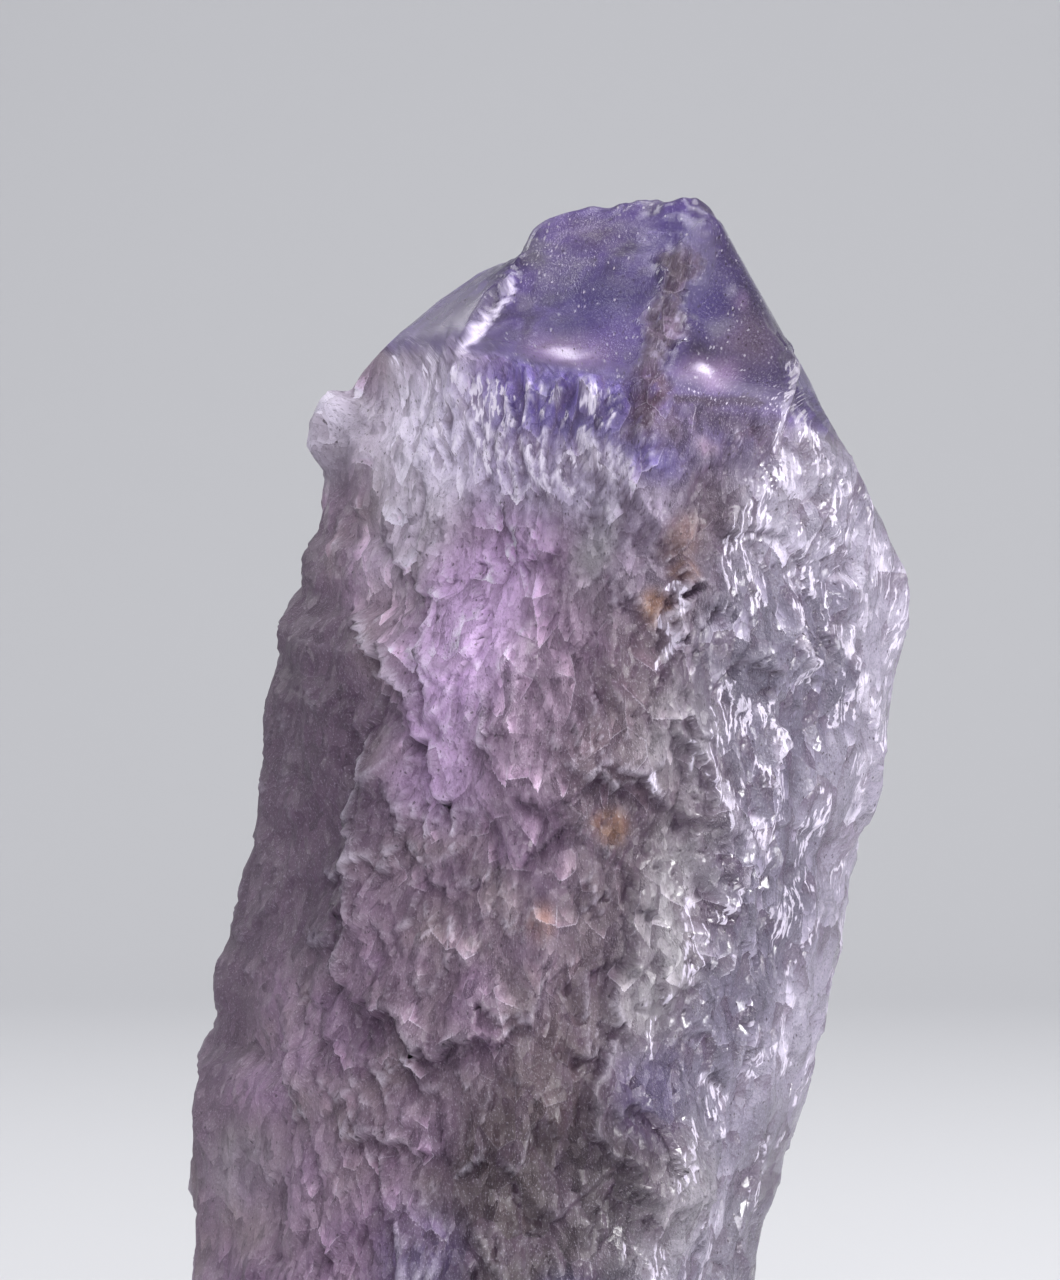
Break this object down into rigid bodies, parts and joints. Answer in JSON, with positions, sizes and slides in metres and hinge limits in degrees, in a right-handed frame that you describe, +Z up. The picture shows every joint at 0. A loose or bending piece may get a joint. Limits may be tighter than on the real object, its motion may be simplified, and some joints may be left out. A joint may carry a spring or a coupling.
{
  "type": "rough ametrine crystal",
  "caption": "Rough, etched quartz point in pale and deep violet, six-sided with a slanted tip, leaning on a foot cut flat to stand on.",
  "frame": {"origin": "on the flat cut foot, below the middle of the crystal's outline", "axes": "+Z up, +X to the viewer's right and the way the crystal leans, -Y towards the viewer"},
  "size_m": [0.0367, 0.028, 0.0639],
  "materials": {
    "ametrine": "etched and frosted, translucent violet"
  },
  "bodies": {
    "root": {"crystal": "ametrine"}
  },
  "joints": []
}
